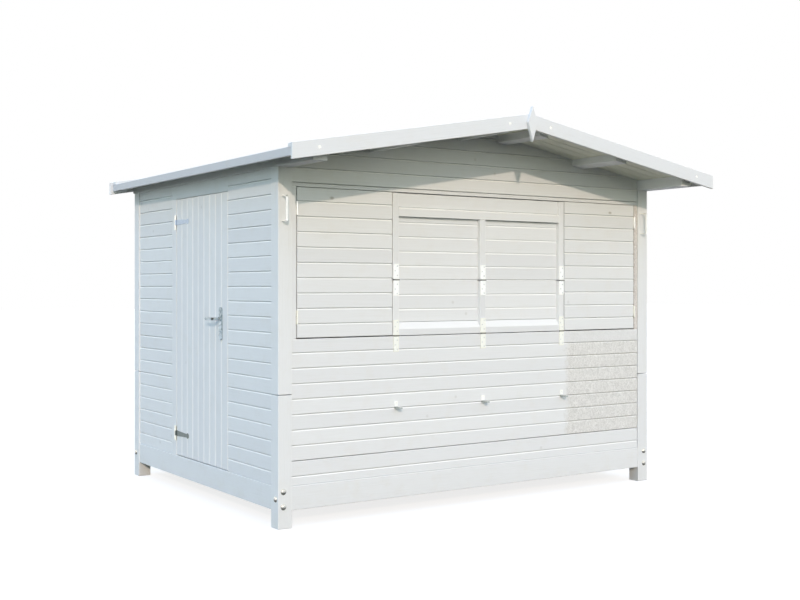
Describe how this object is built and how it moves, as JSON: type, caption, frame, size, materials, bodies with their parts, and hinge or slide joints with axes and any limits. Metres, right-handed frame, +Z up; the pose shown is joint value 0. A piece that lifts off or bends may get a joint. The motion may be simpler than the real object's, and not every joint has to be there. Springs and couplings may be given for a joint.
{
  "type": "wooden market hut",
  "caption": "Boarded wooden market hut on corner posts, with a low gable roof, a side door, and a serving hatch whose flap folds down into a propped counter.",
  "frame": {"origin": "on the ground under the middle of the roof", "axes": "X along the serving front, Y from the front to the back, Z up"},
  "size_m": [3.322, 2.904, 2.5129],
  "materials": {
    "white_boards": "white paint on planed softwood, with chamfered tongue-and-groove joints",
    "bare_boards": "bare planed softwood",
    "roof_felt": "mineral-faced bitumen felt",
    "zinc_steel": "zinc-plated pressed steel"
  },
  "bodies": {
    "hut": {"lower_posts": "white_boards", "upper_posts": "white_boards", "front_sill": "white_boards", "rear_sill": "white_boards", "side_sills": "white_boards", "front_lower_wall": "white_boards", "hatch_rail": "white_boards", "hatch_jambs": "white_boards", "hatch_head": "white_boards", "front_gable": "white_boards", "rear_wall": "white_boards", "right_wall": "white_boards", "left_wall_front": "white_boards", "left_wall_rear": "white_boards", "left_wall_header": "white_boards", "door_jambs": "white_boards", "eave_beams": "white_boards", "mid_purlins": "white_boards", "ridge_purlin": "white_boards", "left_roof_deck": "white_boards", "right_roof_deck": "white_boards", "left_verge_battens": "white_boards", "right_verge_battens": "white_boards", "left_bargeboards": "white_boards", "right_bargeboards": "white_boards", "eave_fascias": "white_boards", "finials": "white_boards", "floor_joists": "bare_boards", "floor_deck": "bare_boards", "roof_felt": "roof_felt", "door_hinge_plates": "zinc_steel", "hatch_hinge_plates": "zinc_steel", "counter_hooks": "zinc_steel", "post_pulls": "zinc_steel"},
    "door": {"door_leaf": "white_boards", "door_ledges": "white_boards", "door_diagonal": "white_boards", "door_hinge_straps": "zinc_steel", "door_handle": "zinc_steel"},
    "left_shutter": {"left_shutter": "white_boards", "left_shutter_hinges": "zinc_steel"},
    "right_shutter": {"right_shutter": "white_boards", "right_shutter_hinges": "zinc_steel"},
    "counter": {"counter_frame": "white_boards", "counter_panels": "white_boards", "counter_hinges": "zinc_steel"},
    "prop": {"prop_frame": "white_boards", "prop_panels": "white_boards", "prop_hinges": "zinc_steel"}
  },
  "joints": [
    {"name": "door_swing", "type": "hinge", "parent": "hut", "child": "door", "pos_m": [-1.499, 0.5585, 1.1225], "axis": [0, 0, -1], "range_deg": [0, 120]},
    {"name": "left_shutter_swing", "type": "hinge", "parent": "hut", "child": "left_shutter", "pos_m": [-1.3745, -0.959, 1.545], "axis": [0, 0, -1], "range_deg": [0, 120]},
    {"name": "right_shutter_swing", "type": "hinge", "parent": "hut", "child": "right_shutter", "pos_m": [1.3745, -0.959, 1.545], "axis": [0, 0, 1], "range_deg": [0, 120]},
    {"name": "counter_fold", "type": "hinge", "parent": "hut", "child": "counter", "pos_m": [0, -0.959, 1.0995], "axis": [1, 0, 0], "range_deg": [0, 90]},
    {"name": "prop_fold", "type": "hinge", "parent": "counter", "child": "prop", "pos_m": [0, -0.959, 1.445], "axis": [1, 0, 0], "range_deg": [0, 130.4]}
  ]
}
